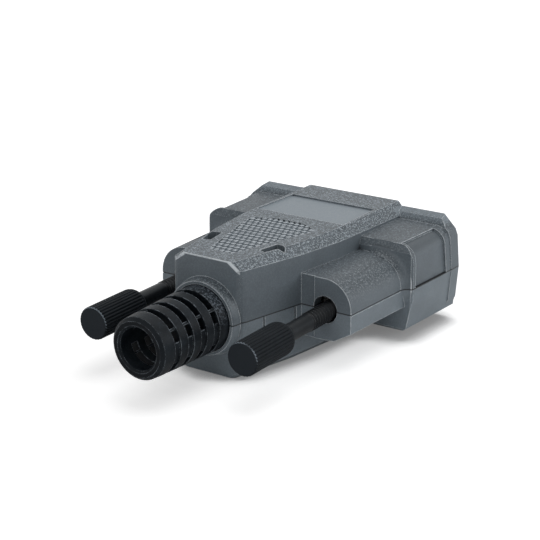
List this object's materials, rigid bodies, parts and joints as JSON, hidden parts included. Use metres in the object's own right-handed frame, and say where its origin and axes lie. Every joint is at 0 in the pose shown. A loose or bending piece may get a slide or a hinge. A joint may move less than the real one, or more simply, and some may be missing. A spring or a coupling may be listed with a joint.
{
  "type": "d-sub hood",
  "caption": "Grey two-part plastic hood for a small D-sub connector, with a black slotted cable boot and two long captive thumbscrews.",
  "frame": {"origin": "centre of the mating face, on the connector's axis and on the parting plane of the two shells", "axes": "+Y out of the mating face towards the mating connector, +Z towards the upper shell, +X to the right seen from the cable end"},
  "size_m": [0.0384, 0.0548, 0.0174],
  "materials": {
    "shell_grey": "fine spark-eroded texture with a slight metallic sheen",
    "boot_black": "satin moulded PVC",
    "knob_black": "straight-knurled satin moulding",
    "screw_black": "black oxide",
    "ring_steel": "plain spring steel"
  },
  "bodies": {
    "hood": {"upper_shell": "shell_grey", "lower_shell": "shell_grey", "strain_relief_boot": "boot_black"},
    "left_ring": {"left_retaining_ring": "ring_steel"},
    "left_screw": {"left_thumb_knob": "knob_black", "left_jackscrew": "screw_black"},
    "right_ring": {"right_retaining_ring": "ring_steel"},
    "right_screw": {"right_thumb_knob": "knob_black", "right_jackscrew": "screw_black"}
  },
  "joints": [
    {"name": "left_screw_slide", "type": "slide", "parent": "hood", "child": "left_ring", "axis": [0, 1, 0], "range_m": [0, 0.01125]},
    {"name": "left_screw_turn", "type": "hinge", "parent": "left_ring", "child": "left_screw", "pos_m": [-0.01249, -0.0259, -0.00041], "axis": [0, 0.9999, 0.0157], "continuous": true},
    {"name": "right_screw_slide", "type": "slide", "parent": "hood", "child": "right_ring", "axis": [0, 1, 0], "range_m": [-0.001, 0.01025]},
    {"name": "right_screw_turn", "type": "hinge", "parent": "right_ring", "child": "right_screw", "pos_m": [0.01249, -0.0249, -0.00039], "axis": [0, 0.9999, 0.0157], "continuous": true}
  ]
}
